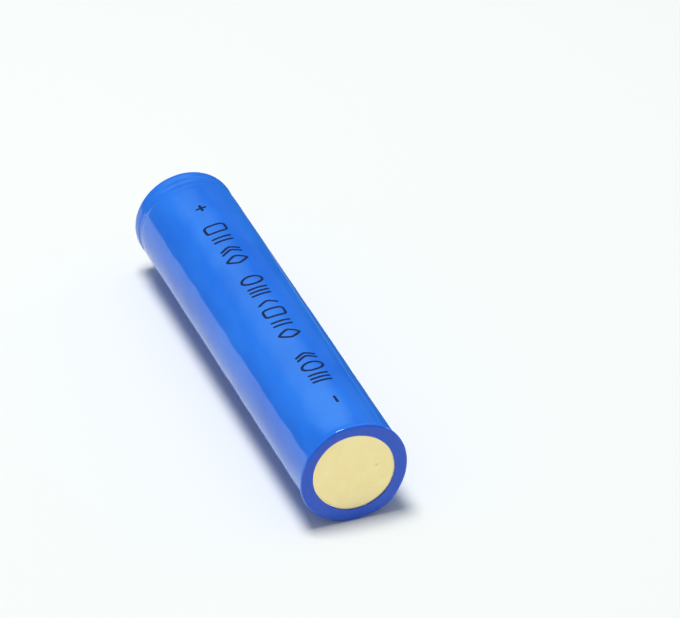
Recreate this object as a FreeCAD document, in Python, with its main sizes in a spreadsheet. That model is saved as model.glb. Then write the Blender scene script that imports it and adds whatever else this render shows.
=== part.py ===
"""Cylindrical lithium-ion cell, 14 mm across and 65 mm long, in a shrink sleeve.

Every piece is drawn standing on its negative end, with local z running along the
cell's axis to the positive end. A common placement then lays the pieces on their
side: the axis runs along +Y towards the positive end, the sleeve's rim rests on z = 0 and
the origin is under the middle of the cell. Units are millimetres.
"""

import FreeCAD, Part
import math
import os

import Sketcher

V = FreeCAD.Vector

# Alias, value in millimetres (or a count, or degrees), what it is.
SIZES = [
    ("cell_length", 65.0, "negative sleeve face to the top of the positive cap"),
    ("can_diameter", 13.9, "outside of the steel can"),
    ("can_wall", 0.2, "side wall of the drawn can"),
    ("can_floor", 0.3, "bottom of the drawn can"),
    ("can_corner", 0.4, "outer radius between bottom and side"),
    ("weld_pit_radius", 0.16, "pit left by the weld electrode"),
    ("weld_pit_depth", 0.05, "depth of that pit"),
    ("weld_pit_side", 3.08, "pit's offset across the cell"),
    ("weld_pit_rise", 0.52, "pit's offset up the end face"),
    ("bead_to_top", 3.0, "middle of the rolled bead to the positive end"),
    ("bead_depth", 1.2, "how far the bead is rolled in"),
    ("bead_root", 0.5, "outside radius at the bottom of the bead"),
    ("bead_shoulder", 0.5, "outside radius of the bead's two shoulders"),
    ("crimp_drop", 0.55, "top of the crimp below the cap"),
    ("crimp_corner", 0.9, "outside radius of the crimped rim"),
    ("crimp_reach", 1.75, "how far the rim is turned in"),
    ("sleeve_wall", 0.1, "shrunk PVC film"),
    ("sleeve_fold", 0.14, "film gathered over the ends, where it is thicker"),
    ("sleeve_flare", 0.25, "how far the gathered film stands out round the negative end"),
    ("flare_corner", 0.22, "outer radius of that rim"),
    ("flare_land", 0.38, "full width of that rim, measured from the negative face"),
    ("flare_slope", 0.6, "length of the slope from that rim down to the side"),
    ("sleeve_sag", 0.4, "how far the film sinks into the bead"),
    ("sleeve_mouth_low", 5.5, "radius of the opening round the negative terminal"),
    ("sleeve_mouth_high", 5.4, "radius of the opening round the positive terminal"),
    ("contact_margin", 0.05, "terminal face kept clear of the film's edge"),
    ("washer_thickness", 0.2, "paper washer on the crimp"),
    ("washer_inner", 4.75, "inner radius of the paper washer"),
    ("gasket_flange", 0.4, "gasket between crimp, cap stack and bead"),
    ("gasket_wall", 0.4, "gasket between cap stack and can"),
    ("gasket_lip", 0.2, "gasket showing inside the crimped rim"),
    ("gasket_seat", 1.95, "radial width of the gasket's lower flange"),
    ("vent_thickness", 0.25, "aluminium vent disc"),
    ("vent_shoulder", 2.7, "radius where the vent disc starts to dip"),
    ("vent_nub", 1.3, "radius of the vent disc's flat centre"),
    ("vent_score_depth", 0.12, "depth of the score that lets the vent tear"),
    ("vent_score_width", 0.2, "width of that score"),
    ("ptc_thickness", 0.2, "current-limiting washer"),
    ("ptc_inner", 4.5, "inner radius of the current-limiting washer"),
    ("cap_thickness", 0.3, "pressed steel cap"),
    ("cap_hat", 4.2, "outer radius of the raised part of the cap"),
    ("cap_corner", 0.45, "outer radius at the top of the cap"),
    ("cap_foot", 0.15, "inner radius where the cap meets its flange"),
    ("vent_window_width", 1.4, "gas window in the cap's wall"),
    ("vent_window_height", 0.45, "gas window in the cap's wall"),
    ("cid_ring_thickness", 0.35, "insulator under the vent disc"),
    ("cid_ring_inner", 3.0, "opening of that insulator"),
    ("cid_plate_thickness", 0.25, "contact plate under the vent disc"),
    ("cid_plate_radius", 4.2, "outer radius of the contact plate"),
    ("cid_hole_radius", 0.5, "gas hole in the contact plate"),
    ("cid_hole_circle", 2.5, "radius of the circle the gas holes lie on"),
    ("cid_hole_count", 6, "number of gas holes"),
    ("fit_gap", 0.05, "clearance between pieces that only locate each other"),
    ("roll_core", 1.5, "radius of the hollow core of the winding"),
    ("roll_turns", 13, "turns of the separators"),
    ("separator_film", 0.025, "one separator film"),
    ("anode_coat", 0.07, "graphite on one side of the copper"),
    ("anode_foil", 0.012, "copper foil"),
    ("cathode_coat", 0.075, "oxide on one side of the aluminium"),
    ("cathode_foil", 0.02, "aluminium foil"),
    ("anode_margin", 0.6, "separator standing past the anode at each end"),
    ("cathode_margin", 1.1, "separator standing past the cathode at each end"),
    ("headroom", 1.6, "space between the winding and the bead"),
    ("tab_width", 3.0, "width of the welded tabs"),
    ("tab_bend", 0.12, "inner radius of the tabs' bends"),
    ("tab_tape", 0.02, "tape over each tab"),
    ("tab_tape_margin", 1.0, "tape beyond the tab's edges"),
    ("closing_tape", 0.05, "tape that keeps the winding closed"),
    ("closing_tape_margin", 6.0, "bare winding above and below that tape"),
    ("insulator_thickness", 0.2, "disc under the winding"),
    ("top_insulator_thickness", 0.3, "disc on the winding"),
    ("insulator_hole", 1.25, "radius of the hole in both discs"),
    ("slot_gap", 0.25, "clearance round a tab in its slot"),
]


class Size:
    """A length, with its value and the spreadsheet formula that gives it."""

    def __init__(self, value, formula):
        self.value = value
        self.formula = formula

    def __add__(self, other):
        other = as_size(other)
        return Size(self.value + other.value, f"({self.formula} + {other.formula})")

    def __sub__(self, other):
        other = as_size(other)
        return Size(self.value - other.value, f"({self.formula} - {other.formula})")

    def __mul__(self, number):
        return Size(self.value * number, f"({self.formula} * {number})")

    def __truediv__(self, number):
        return Size(self.value / number, f"({self.formula} / {number})")


def as_size(number):
    """A plain number as a Size, and a Size as it is."""
    return number if isinstance(number, Size) else Size(float(number), str(number))


ZERO = Size(0.0, "0")


def fill_sheet(doc):
    """Writes the driving dimensions to the document's sheet."""
    sheet = doc.addObject("Spreadsheet::Sheet", "Sizes")
    for row, (alias, value, note) in enumerate(SIZES, start=1):
        sheet.set(f"A{row}", alias.replace("_", " "))
        sheet.set(f"B{row}", str(value))
        sheet.setAlias(f"B{row}", alias)
        sheet.set(f"C{row}", note)
    doc.recompute()
    return sheet


class Cell:
    """The driving dimensions, and what follows from them, as named sizes."""

    def __init__(self, sheet):
        for alias, _, _ in SIZES:
            setattr(self, alias, Size(float(sheet.get(alias)), f"Sizes.{alias}"))
        self.can_radius = self.can_diameter / 2
        self.bore = self.can_radius - self.can_wall
        self.sleeve_radius = self.can_radius + self.sleeve_wall
        self.flare_radius = self.sleeve_radius + self.sleeve_flare
        self.can_bottom = self.sleeve_fold
        self.floor_top = self.can_bottom + self.can_floor
        self.bead_middle = self.cell_length - self.bead_to_top
        self.bead_bottom = self.bead_middle - self.bead_root - self.can_wall
        self.bead_top = self.bead_middle + self.bead_root + self.can_wall
        self.bead_floor = self.can_radius - self.bead_depth
        self.crimp_top = self.cell_length - self.crimp_drop
        self.rim_radius = self.can_radius - self.crimp_reach
        self.washer_top = self.crimp_top + self.washer_thickness
        self.washer_outer = self.can_radius - self.crimp_corner - self.washer_thickness
        # the cap stack, from the bead up
        self.stack_radius = self.bore - self.gasket_wall
        self.stack_bottom = self.bead_top + self.gasket_flange
        self.seat_radius = self.bore - self.gasket_seat
        self.vent_top = self.stack_bottom + self.vent_thickness
        self.ptc_top = self.vent_top + self.ptc_thickness
        self.cap_flange_top = self.ptc_top + self.cap_thickness
        self.cid_ring_bottom = self.stack_bottom - self.cid_ring_thickness
        self.cid_plate_bottom = self.cid_ring_bottom - self.cid_plate_thickness
        # the winding
        # A tab and its tape together are as thick as the graphite coat they lie in.
        self.tab_strip = self.anode_coat - self.tab_tape
        self.foot_top = self.floor_top + self.tab_strip
        self.roll_bottom = self.foot_top + self.insulator_thickness + self.fit_gap
        self.roll_top = self.bead_bottom - self.headroom
        self.roll_height = self.roll_top - self.roll_bottom
        self.pitch = (
            self.separator_film * 2
            + self.anode_coat * 2
            + self.anode_foil
            + self.cathode_coat * 2
            + self.cathode_foil
        )


def lay_down(piece, c):
    """Turns local z to +Y and rests the rim on z = 0, the cell's middle over the origin."""
    turn = FreeCAD.Rotation(V(1, 0, 0), -90)
    base = V(0, -c.cell_length.value / 2, c.flare_radius.value)
    piece.Placement = FreeCAD.Placement(base, turn)
    piece.setExpression("Placement.Base.y", f"-{c.cell_length.formula} / 2")
    piece.setExpression("Placement.Base.z", c.flare_radius.formula)


def new_body(doc, c, label):
    """An empty body, laid down as every piece is."""
    body = doc.addObject("PartDesign::Body", label)
    body.Label = label
    lay_down(body, c)
    return body


def new_sketch(body, role, name, height=None):
    """A sketch on one of the body's own origin planes, raised along the plane's normal."""
    sketch = body.newObject("Sketcher::SketchObject", name)
    plane = next(o for o in body.Origin.OriginFeatures if o.Role == role)
    sketch.AttachmentSupport = (plane, [""])
    sketch.MapMode = "FlatFace"
    if height is not None:
        sketch.setExpression("AttachmentOffset.Base.z", height.formula)
    return sketch


def pin_point(sketch, geometry, point, x, y):
    """Holds a sketch point at x and y, both measured from the sketch's origin."""
    for kind, axis, size in (("DistanceX", -2, x), ("DistanceY", -1, y)):
        if size is ZERO:
            sketch.addConstraint(Sketcher.Constraint("PointOnObject", geometry, point, axis))
            continue
        index = sketch.addConstraint(
            Sketcher.Constraint(kind, -1, 1, geometry, point, size.value)
        )
        sketch.setExpression(f"Constraints[{index}]", size.formula)


def arc_between(start, end, radius):
    """The arc from start to end: radius above 0 turns left, below 0 turns right.

    Returns it with the numbers of its points at start and end, because a sketch keeps
    every arc anticlockwise.
    """
    chord = end - start
    side = V(-chord.y, chord.x, 0) / chord.Length
    rise = math.sqrt(max(0.0, radius**2 - chord.Length**2 / 4))
    centre = (start + end) / 2 + side * math.copysign(rise, radius)
    angles = [math.atan2(p.y - centre.y, p.x - centre.x) for p in (start, end)]
    circle = Part.Circle(centre, V(0, 0, 1), abs(radius))
    if radius > 0:
        return Part.ArcOfCircle(circle, angles[0], angles[1]), (1, 2)
    return Part.ArcOfCircle(circle, angles[1], angles[0]), (2, 1)


def outline(sketch, corners):
    """A closed outline. Each corner is (x, y), or (x, y, radius, turn) where an arc leaves it.

    The turn is 1 for left and -1 for right. Every corner is held by its two coordinates
    and every arc by its radius, all bound to the sheet.
    """
    places = [V(corner[0].value, corner[1].value, 0) for corner in corners]
    ends = []
    for number, corner in enumerate(corners):
        start, end = places[number], places[(number + 1) % len(corners)]
        if len(corner) == 2:
            shape, points = Part.LineSegment(start, end), (1, 2)
        else:
            shape, points = arc_between(start, end, corner[2].value * corner[3])
        ends.append((sketch.addGeometry(shape, False), *points))
    for number, corner in enumerate(corners):
        geometry, first, _ = ends[number]
        before, _, last = ends[number - 1]
        sketch.addConstraint(
            Sketcher.Constraint("Coincident", before, last, geometry, first)
        )
        pin_point(sketch, geometry, first, corner[0], corner[1])
        if len(corner) > 2:
            index = sketch.addConstraint(
                Sketcher.Constraint("Radius", geometry, corner[2].value)
            )
            sketch.setExpression(f"Constraints[{index}]", corner[2].formula)


def circle(sketch, x, y, radius):
    """A circle held by its centre and radius."""
    geometry = sketch.addGeometry(
        Part.Circle(V(x.value, y.value, 0), V(0, 0, 1), radius.value), False
    )
    pin_point(sketch, geometry, 3, x, y)
    index = sketch.addConstraint(Sketcher.Constraint("Radius", geometry, radius.value))
    sketch.setExpression(f"Constraints[{index}]", radius.formula)


def box_outline(low_x, high_x, low_y, high_y):
    """The four corners of a rectangle, for outline()."""
    return [(low_x, low_y), (high_x, low_y), (high_x, high_y), (low_x, high_y)]


def revolve(body, corners, refine=True):
    """Turns an outline, drawn as radius and height, about the cell's axis."""
    sketch = new_sketch(body, "XZ_Plane", "Section")
    outline(sketch, corners)
    turned = body.newObject("PartDesign::Revolution", "Turned")
    turned.Profile = sketch
    turned.ReferenceAxis = (sketch, ["V_Axis"])
    turned.Angle = 360
    turned.Refine = refine
    return turned


def pad(body, sketch, thickness, name="Blank"):
    """Raises a sketch by a thickness."""
    block = body.newObject("PartDesign::Pad", name)
    block.Profile = sketch
    block.setExpression("Length", thickness.formula)
    return block


def cut_up(body, sketch, depth, name):
    """Cuts a sketch upwards, along its plane's normal."""
    cut = body.newObject("PartDesign::Pocket", name)
    cut.Profile = sketch
    cut.Reversed = True
    cut.setExpression("Length", depth.formula)
    return cut


def repeat_round(body, feature, name, count, angle):
    """Repeats a feature about the cell's axis."""
    pattern = body.newObject("PartDesign::PolarPattern", name)
    axis = next(o for o in body.Origin.OriginFeatures if o.Role == "Z_Axis")
    pattern.Originals = [feature]
    pattern.Axis = (axis, [""])
    pattern.Angle = angle
    pattern.setExpression("Occurrences", count.formula)
    body.Tip = pattern
    return pattern


# ---------------------------------------------------------------- outside of the cell


def bead_path(c, radius, inward, rising):
    """The rolled bead on one face of the can wall, as corners for outline().

    radius is that face's radius on the straight wall, and inward how far the face lies
    inside the can's outside. rising lists it from the bottom up.
    """
    shoulder = c.bead_shoulder - inward
    root = c.bead_root + inward
    reach = c.can_radius - c.bead_shoulder
    centre = c.bead_floor + c.bead_root
    low, high = c.bead_middle - root, c.bead_middle + root
    start = c.bead_middle - c.bead_root - c.bead_shoulder
    end = c.bead_middle + c.bead_root + c.bead_shoulder
    if rising:
        return [
            (radius, start, shoulder, 1),
            (reach, low),
            (centre, low, root, -1),
            (c.bead_floor - inward, c.bead_middle, root, -1),
            (centre, high),
            (reach, high, shoulder, 1),
            (radius, end),
        ]
    return [
        (radius, end, shoulder, -1),
        (reach, high),
        (centre, high, root, 1),
        (c.bead_floor - inward, c.bead_middle, root, 1),
        (centre, low),
        (reach, low, shoulder, -1),
        (radius, start),
    ]


def steel_can(doc, c):
    """Drawn can: floor, side wall, rolled bead, and the rim crimped over the gasket."""
    body = new_body(doc, c, "steel_can")
    outer_turn = c.can_radius - c.can_corner
    inner_corner = c.can_corner
    rim_turn = c.can_radius - c.crimp_corner
    contact = c.sleeve_mouth_low - c.contact_margin
    corners = [
        (ZERO, c.can_bottom),
        (contact, c.can_bottom),
        (outer_turn, c.can_bottom, c.can_corner, 1),
        (c.can_radius, c.can_bottom + c.can_corner),
        *bead_path(c, c.can_radius, ZERO, rising=True),
        (c.can_radius, c.crimp_top - c.crimp_corner, c.crimp_corner, 1),
        (rim_turn, c.crimp_top),
        (c.rim_radius, c.crimp_top),
        (c.rim_radius, c.crimp_top - c.can_wall),
        (rim_turn, c.crimp_top - c.can_wall, c.crimp_corner - c.can_wall, -1),
        (c.bore, c.crimp_top - c.crimp_corner),
        *bead_path(c, c.bore, c.can_wall, rising=False),
        (c.bore, c.floor_top + inner_corner, inner_corner, -1),
        (c.bore - inner_corner, c.floor_top),
        (ZERO, c.floor_top),
    ]
    # Refine would merge the terminal face with the ring that the sleeve covers.
    revolve(body, corners, refine=False)
    pit = new_sketch(body, "XY_Plane", "PitSketch")
    circle(pit, c.weld_pit_side, c.weld_pit_rise * -1, c.weld_pit_radius)
    pocket = cut_up(body, pit, c.can_bottom + c.weld_pit_depth, "WeldPit")
    pocket.Refine = False
    return body


def step_arc(run, drop):
    """The radius of two equal arcs that together step aside by drop over a length of run."""
    return Size(
        (run.value**2 + drop.value**2) / (4 * drop.value),
        f"(({run.formula} ^ 2 + {drop.formula} ^ 2) / (4 * {drop.formula}))",
    )


def sleeve_rim(c):
    """The film's outer face from the negative opening over the rim to the side."""
    arc = step_arc(c.flare_slope, c.sleeve_flare)
    return [
        (c.sleeve_mouth_low, ZERO),
        (c.flare_radius - c.flare_corner, ZERO, c.flare_corner, 1),
        (c.flare_radius, c.flare_corner),
        (c.flare_radius, c.flare_land, arc, 1),
        (c.flare_radius - c.sleeve_flare / 2, c.flare_land + c.flare_slope / 2, arc, -1),
        (c.sleeve_radius, c.flare_land + c.flare_slope),
    ]


def sleeve_side(c, radius, high_corner, top):
    """One face of the film from below the bead, sinking into it, to the positive opening."""
    half = c.bead_root + c.bead_shoulder
    arc = step_arc(half, c.sleeve_sag)
    return [
        (radius, c.bead_middle - half, arc, 1),
        (radius - c.sleeve_sag / 2, c.bead_middle - half / 2, arc, -1),
        (radius - c.sleeve_sag, c.bead_middle, arc, -1),
        (radius - c.sleeve_sag / 2, c.bead_middle + half / 2, arc, 1),
        (radius, c.bead_middle + half),
        (radius, top - high_corner, high_corner, 1),
        (radius - high_corner, top),
        (c.sleeve_mouth_high, top),
    ]


def shrink_sleeve(doc, c):
    """PVC film: gathered into a rim at the negative end, and sunk a little into the bead."""
    body = new_body(doc, c, "shrink_sleeve")
    top_corner = c.crimp_corner + c.washer_thickness
    outer = sleeve_rim(c) + sleeve_side(
        c, c.sleeve_radius, top_corner + c.sleeve_wall, c.washer_top + c.sleeve_fold
    )
    inner = [
        (c.sleeve_mouth_low, c.can_bottom),
        (c.can_radius - c.can_corner, c.can_bottom, c.can_corner, 1),
        (c.can_radius, c.can_bottom + c.can_corner),
        *sleeve_side(c, c.can_radius, top_corner, c.washer_top),
    ]
    # The inner face is listed back to front, so each arc moves to its other end.
    back = []
    for number in range(len(inner) - 1, -1, -1):
        point = inner[number][:2]
        before = inner[number - 1][2:] if number else ()
        back.append((*point, before[0], -before[1]) if before else point)
    revolve(body, outer + back)
    return body


def insulating_washer(doc, c):
    """Paper washer that keeps the crimped rim apart from whatever touches the cap."""
    body = new_body(doc, c, "insulating_washer")
    ring = box_outline(c.washer_inner, c.washer_outer, c.crimp_top, c.washer_top)
    revolve(body, ring)
    return body


# ------------------------------------------------------------------- cap and safety vent


def header_gasket(doc, c):
    """Polypropylene gasket, C-shaped in section, squeezed between can and cap stack."""
    body = new_body(doc, c, "header_gasket")
    rim_turn = c.can_radius - c.crimp_corner
    under_rim = c.crimp_top - c.can_wall
    lip = c.rim_radius - c.gasket_lip
    shoulder = c.bead_shoulder - c.can_wall
    corners = [
        (c.seat_radius, c.bead_top),
        (c.bore - shoulder, c.bead_top, shoulder, 1),
        (c.bore, c.bead_top + shoulder),
        (c.bore, c.crimp_top - c.crimp_corner, c.crimp_corner - c.can_wall, 1),
        (rim_turn, under_rim),
        (lip, under_rim),
        (lip, c.cap_flange_top),
        (c.stack_radius, c.cap_flange_top),
        (c.stack_radius, c.stack_bottom),
        (c.seat_radius, c.stack_bottom),
    ]
    revolve(body, corners)
    return body


def top_cap(doc, c):
    """Pressed steel cap: the positive terminal, with gas windows in its wall."""
    body = new_body(doc, c, "top_cap")
    inner_wall = c.cap_hat - c.cap_thickness
    inner_corner = c.cap_corner - c.cap_thickness
    inner_top = c.cell_length - c.cap_thickness
    corners = [
        (ZERO, inner_top),
        (inner_wall - inner_corner, inner_top, inner_corner, -1),
        (inner_wall, inner_top - inner_corner),
        (inner_wall, c.ptc_top),
        (c.stack_radius, c.ptc_top),
        (c.stack_radius, c.cap_flange_top),
        (c.cap_hat + c.cap_foot, c.cap_flange_top, c.cap_foot, -1),
        (c.cap_hat, c.cap_flange_top + c.cap_foot),
        (c.cap_hat, c.cell_length - c.cap_corner, c.cap_corner, 1),
        (c.cap_hat - c.cap_corner, c.cell_length),
        (ZERO, c.cell_length),
    ]
    revolve(body, corners)
    window = new_sketch(body, "XZ_Plane", "WindowSketch")
    low = c.cap_flange_top + c.cap_foot
    half = c.vent_window_width / 2
    outline(window, box_outline(half * -1, half, low, low + c.vent_window_height))
    cut = body.newObject("PartDesign::Pocket", "Window")
    cut.Profile = window
    cut.Type = "ThroughAll"
    cut.Midplane = True
    # One cut opens two windows, so a second at a right angle makes four.
    repeat_round(body, cut, "Windows", as_size(2), 90)
    return body


def ptc_washer(doc, c):
    """Current-limiting washer between the vent disc and the cap."""
    body = new_body(doc, c, "ptc_washer")
    revolve(body, box_outline(c.ptc_inner, c.stack_radius, c.vent_top, c.ptc_top))
    return body


def vent_disc(doc, c):
    """Aluminium safety vent: dips to touch the contact plate, and tears at its score."""
    body = new_body(doc, c, "vent_disc")
    dip = c.cid_ring_bottom
    score_in = c.vent_shoulder + c.vent_score_width * 2
    score_out = score_in + c.vent_score_width
    scored = c.vent_top - c.vent_score_depth
    corners = [
        (ZERO, dip),
        (c.vent_nub, dip),
        (c.vent_shoulder, c.stack_bottom),
        (c.stack_radius, c.stack_bottom),
        (c.stack_radius, c.vent_top),
        (score_out, c.vent_top),
        (score_out - c.vent_score_width / 2, scored),
        (score_in, c.vent_top),
        (c.vent_shoulder, c.vent_top),
        (c.vent_nub, dip + c.vent_thickness),
        (ZERO, dip + c.vent_thickness),
    ]
    revolve(body, corners)
    return body


def cid_insulator(doc, c):
    """Insulating ring that holds the contact plate under the vent disc."""
    body = new_body(doc, c, "cid_insulator")
    grip = c.cid_plate_radius + c.fit_gap
    corners = [
        (c.cid_ring_inner, c.cid_ring_bottom),
        (grip, c.cid_ring_bottom),
        (grip, c.cid_plate_bottom),
        (c.seat_radius, c.cid_plate_bottom),
        (c.seat_radius, c.stack_bottom),
        (c.cid_ring_inner, c.stack_bottom),
    ]
    revolve(body, corners)
    return body


def cid_plate(doc, c):
    """Pierced contact plate: the vent disc lifts off it when pressure rises."""
    body = new_body(doc, c, "cid_plate")
    disc = new_sketch(body, "XY_Plane", "Disc", c.cid_plate_bottom)
    circle(disc, ZERO, ZERO, c.cid_plate_radius)
    pad(body, disc, c.cid_plate_thickness)
    holes = new_sketch(body, "XY_Plane", "GasHoleSketch", c.cid_plate_bottom)
    circle(holes, c.cid_hole_circle, ZERO, c.cid_hole_radius)
    hole = cut_up(body, holes, c.cid_plate_thickness, "GasHole")
    repeat_round(body, hole, "GasHoles", c.cid_hole_count, 360)
    return body


# ------------------------------------------------------------------------- the winding


def spiral_radius(c, offset, half_turn):
    """Radius of a layer's face, offset from the first one, in a numbered half turn."""
    return c.roll_core.value + offset + half_turn * c.pitch.value / 2


def spiral_centre(c, half_turn):
    """A spiral is half circles whose centres change sides, so that they join smoothly."""
    return V(c.pitch.value / 2 if half_turn % 2 else 0.0, 0, 0)


def half_circle(c, offset, half_turn):
    """One half turn of a layer's face, anticlockwise."""
    radius = spiral_radius(c, offset, half_turn)
    centre = spiral_centre(c, half_turn)
    way = -1 if half_turn % 2 else 1
    return Part.Arc(
        centre + V(way * radius, 0, 0),
        centre + V(0, way * radius, 0),
        centre + V(-way * radius, 0, 0),
    )


def strip(c, offset, thickness, first, last, bottom, top):
    """A wound strip as a solid, from half turn first up to half turn last."""
    inside = [half_circle(c, offset, n) for n in range(first, last)]
    outside = [half_circle(c, offset + thickness, n) for n in range(first, last)]
    edges = [curve.toShape() for curve in inside]
    edges.append(Part.makeLine(inside[-1].EndPoint, outside[-1].EndPoint))
    edges += [curve.toShape() for curve in reversed(outside)]
    edges.append(Part.makeLine(outside[0].StartPoint, inside[0].StartPoint))
    face = Part.Face(Part.Wire(Part.__sortEdges__(edges)))
    face.translate(V(0, 0, bottom))
    return face.extrude(V(0, 0, top - bottom))


def curved_patch(c, offset, thickness, half_turn, width, bottom, top):
    """A piece that lies on one half turn, centred on its middle and as wide as given."""
    low = spiral_radius(c, offset, half_turn)
    high = low + thickness
    middle = math.radians(270 if half_turn % 2 else 90)
    half = width / 2 / high
    ends = []
    for radius in (low, high):
        ends.append(
            [
                V(radius * math.cos(middle + a), radius * math.sin(middle + a), 0)
                for a in (-half, 0, half)
            ]
        )
    inner, outer = ends
    wire = Part.Wire(
        [
            Part.Arc(*inner).toShape(),
            Part.makeLine(inner[2], outer[2]),
            Part.Arc(*reversed(outer)).toShape(),
            Part.makeLine(outer[0], inner[0]),
        ]
    )
    face = Part.Face(wire)
    face.translate(spiral_centre(c, half_turn) + V(0, 0, bottom))
    return face.extrude(V(0, 0, top - bottom))


def add_shape(doc, c, label, shape):
    """A piece whose shape comes from Part's own functions."""
    piece = doc.addObject("Part::Feature", label)
    piece.Label = label
    piece.Shape = shape
    lay_down(piece, c)
    return piece


class Winding:
    """Where each layer of the winding starts, in order from the core outwards."""

    def __init__(self, c):
        film, turns = c.separator_film.value, int(c.roll_turns.value)
        self.first_separator = 0.0
        self.anode_inner = film
        self.anode_foil = self.anode_inner + c.anode_coat.value
        self.anode_outer = self.anode_foil + c.anode_foil.value
        self.second_separator = self.anode_outer + c.anode_coat.value
        self.cathode_inner = self.second_separator + film
        self.cathode_foil = self.cathode_inner + c.cathode_coat.value
        self.cathode_outer = self.cathode_foil + c.cathode_foil.value
        # Half turns where things start and end. The anode's last half turn is bare
        # copper for its tab, and the cathode has a bare window for its own.
        self.end = 2 * turns
        self.start = 1
        self.anode_coat_end = self.end - 1
        self.cathode_end = self.end - 2
        self.window = turns - 2 if turns % 2 else turns - 1
        self.low, self.high = c.roll_bottom.value, c.roll_top.value
        self.anode_low = self.low + c.anode_margin.value
        self.anode_high = self.high - c.anode_margin.value
        self.cathode_low = self.low + c.cathode_margin.value
        self.cathode_high = self.high - c.cathode_margin.value


def winding(doc, c, w):
    """The separators, the two electrodes and the tape that keeps the winding closed."""
    film = c.separator_film.value
    anode = (w.anode_low, w.anode_high)
    cathode = (w.cathode_low, w.cathode_high)
    coat_ends = [(w.start, w.window), (w.window + 1, w.cathode_end)]
    layers = {
        "separator_inner": [(w.first_separator, film, 0, w.end, w.low, w.high)],
        "separator_outer": [(w.second_separator, film, 0, w.end, w.low, w.high)],
        "anode_foil": [(w.anode_foil, c.anode_foil.value, w.start, w.end, *anode)],
        "anode_coating_inner": [
            (w.anode_inner, c.anode_coat.value, w.start, w.anode_coat_end, *anode)
        ],
        "anode_coating_outer": [
            (w.anode_outer, c.anode_coat.value, w.start, w.anode_coat_end, *anode)
        ],
        "cathode_foil": [
            (w.cathode_foil, c.cathode_foil.value, w.start, w.cathode_end, *cathode)
        ],
        "cathode_coating_inner": [
            (w.cathode_inner, c.cathode_coat.value, *ends, *cathode) for ends in coat_ends
        ],
        "cathode_coating_outer": [
            (w.cathode_outer, c.cathode_coat.value, *ends, *cathode) for ends in coat_ends
        ],
        "closing_tape": [
            (
                w.cathode_inner,
                c.closing_tape.value,
                w.cathode_end,
                w.end,
                w.low + c.closing_tape_margin.value,
                w.high - c.closing_tape_margin.value,
            )
        ],
    }
    pieces = []
    for label, strips in layers.items():
        solids = [strip(c, *sizes) for sizes in strips]
        shape = solids[0] if len(solids) == 1 else Part.makeCompound(solids)
        pieces.append(add_shape(doc, c, label, shape))
    return pieces


# -------------------------------------------------------------------------------- tabs


def folded_strip(points, bend, thickness, width):
    """A flat strip folded along points in the plane x = 0, as wide as given along x.

    Points are (y, z) on the strip's middle line. Each inner point is rounded.
    """
    centre = [V(0, y, z) for y, z in points]
    edges, at = [], centre[0]
    for before, corner, after in zip(centre, centre[1:], centre[2:]):
        into = (corner - before).normalize()
        away = (after - corner).normalize()
        turn = into.getAngle(away)
        back = bend * math.tan(turn / 2)
        start, end = corner - into * back, corner + away * back
        rise = bend * (1 / math.cos(turn / 2) - 1)
        middle = corner + (away - into).normalize() * rise
        if (start - at).Length > 1e-6:
            edges.append(Part.makeLine(at, start))
        edges.append(Part.Arc(start, middle, end).toShape())
        at = end
    edges.append(Part.makeLine(at, centre[-1]))
    side = (centre[1] - centre[0]).normalize()
    across = V(1, 0, 0).cross(side)
    low = centre[0] - across * (thickness / 2) - V(width / 2, 0, 0)
    corners = [
        low,
        low + V(width, 0, 0),
        low + V(width, 0, 0) + across * thickness,
        low + across * thickness,
    ]
    section = Part.makePolygon(corners + corners[:1])
    return Part.Wire(edges).makePipeShell([section], True, False, 0)


def straighten(c, offset, half_turn, flat_y, bottom, top):
    """The stretch where a tab goes from the curve of the winding to flat."""
    low = spiral_radius(c, offset, half_turn)
    high = low + c.tab_strip.value
    half = c.tab_width.value / 2 / high
    centre = spiral_centre(c, half_turn) + V(0, 0, bottom)
    inner, outer = [
        [centre + V(r * math.sin(a), -r * math.cos(a), 0) for a in (-half, 0, half)]
        for r in (low, high)
    ]
    rounded = Part.Wire(
        [
            Part.Arc(*inner).toShape(),
            Part.makeLine(inner[2], outer[2]),
            Part.Arc(*reversed(outer)).toShape(),
            Part.makeLine(outer[0], inner[0]),
        ]
    )
    reach = c.tab_width.value / 2
    thin = c.tab_strip.value / 2
    corners = [
        V(-reach, flat_y + thin, top),
        V(reach, flat_y + thin, top),
        V(reach, flat_y - thin, top),
        V(-reach, flat_y - thin, top),
    ]
    flat = Part.makePolygon(corners + corners[:1])
    return Part.makeLoft([rounded, flat], True, True)


def positive_tab(doc, c, w):
    """Aluminium tab: welded to the cathode foil, folded over and welded to the plate."""
    thin = c.tab_strip.value
    radius = spiral_radius(c, w.cathode_outer, w.window)
    flat_y = -(radius + thin / 2)
    leaves = c.roll_top.value + c.fit_gap.value
    over = leaves + c.top_insulator_thickness.value
    held = curved_patch(
        c, w.cathode_outer, thin, w.window, c.tab_width.value, w.cathode_low, leaves
    )
    change = straighten(c, w.cathode_outer, w.window, flat_y, leaves, over)
    bend = c.tab_bend.value + thin / 2
    under_plate = c.cid_plate_bottom.value - thin / 2
    across = over + bend + c.fit_gap.value
    far = -flat_y
    path = [
        (flat_y, over),
        (flat_y, across),
        (far, across),
        (far, under_plate),
        (-c.cid_hole_circle.value, under_plate),
    ]
    folded = folded_strip(path, bend, thin, c.tab_width.value)
    shape = held.fuse([change, folded]).removeSplitter()
    return add_shape(doc, c, "positive_tab", shape)


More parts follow.
